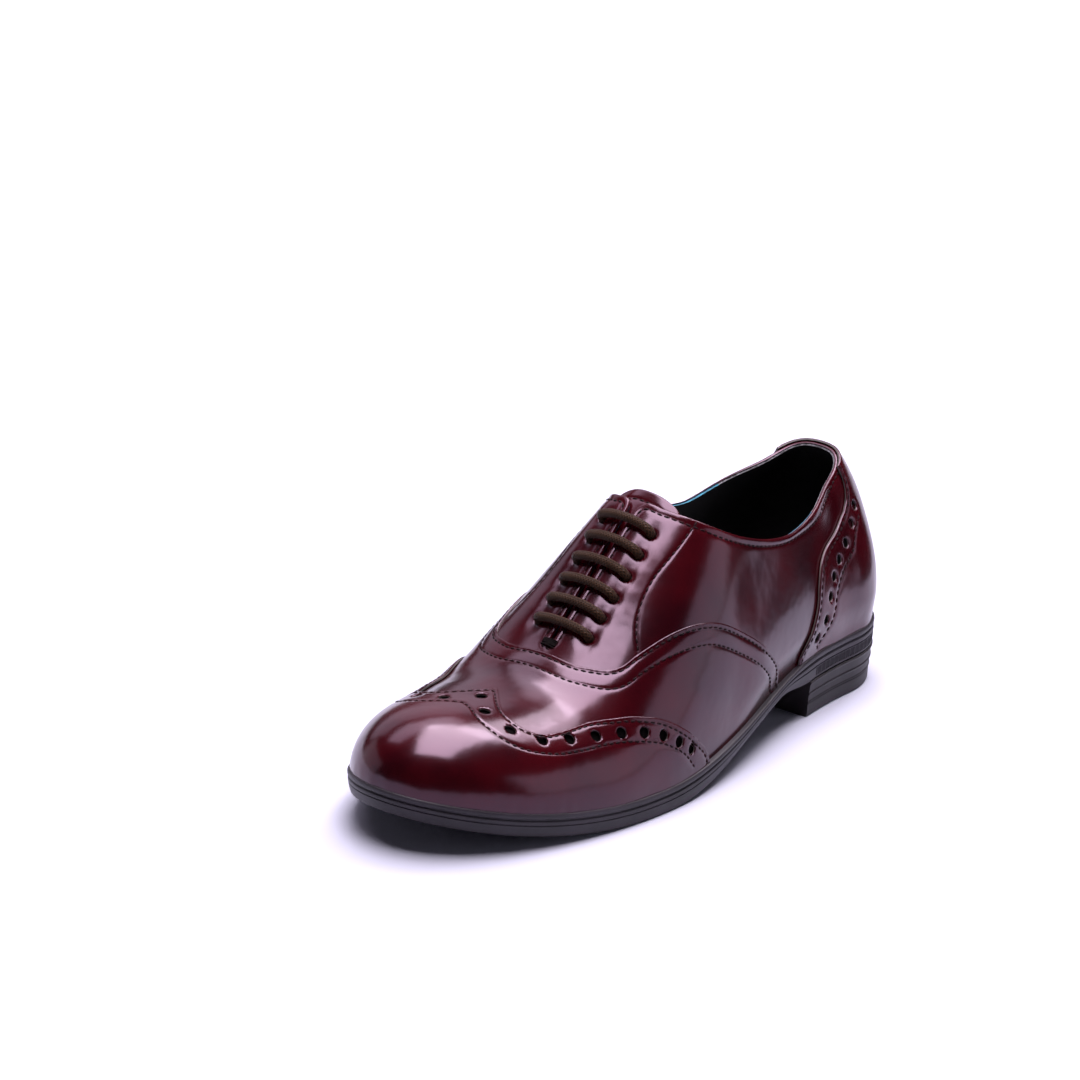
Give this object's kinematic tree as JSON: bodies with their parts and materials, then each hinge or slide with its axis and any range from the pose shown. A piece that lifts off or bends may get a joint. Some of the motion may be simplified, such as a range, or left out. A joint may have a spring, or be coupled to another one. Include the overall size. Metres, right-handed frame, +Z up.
{
  "type": "wingtip shoe",
  "caption": "Low lace-up dress shoe with a perforated wingtip cap, a heel counter, straight lacing, a moulded sole and a low stacked-look heel.",
  "frame": {"origin": "on the floor, under the centre of the heel", "axes": "+X to the toe, +Y to the outer side of the left foot, +Z up"},
  "size_m": [0.2599, 0.0939, 0.0928],
  "materials": {
    "leather": "polished burgundy leather, high shine",
    "insole": "black leather lining board",
    "sole": "dark grey-brown moulded rubber, satin",
    "heel": "dark brown moulded rubber, satin",
    "lace": "waxed round cord, dark olive brown"
  },
  "bodies": {
    "root": {"upper": "leather", "wingtip_cap": "leather", "heel_counter": "leather", "tongue": "leather", "insole": "insole", "outsole": "sole", "heel_block": "heel", "top_lift": "heel", "lace_bar_1": "lace", "lace_bar_2": "lace", "lace_bar_3": "lace", "lace_bar_4": "lace", "lace_bar_5": "lace", "lace_bar_6": "lace"}
  },
  "joints": []
}
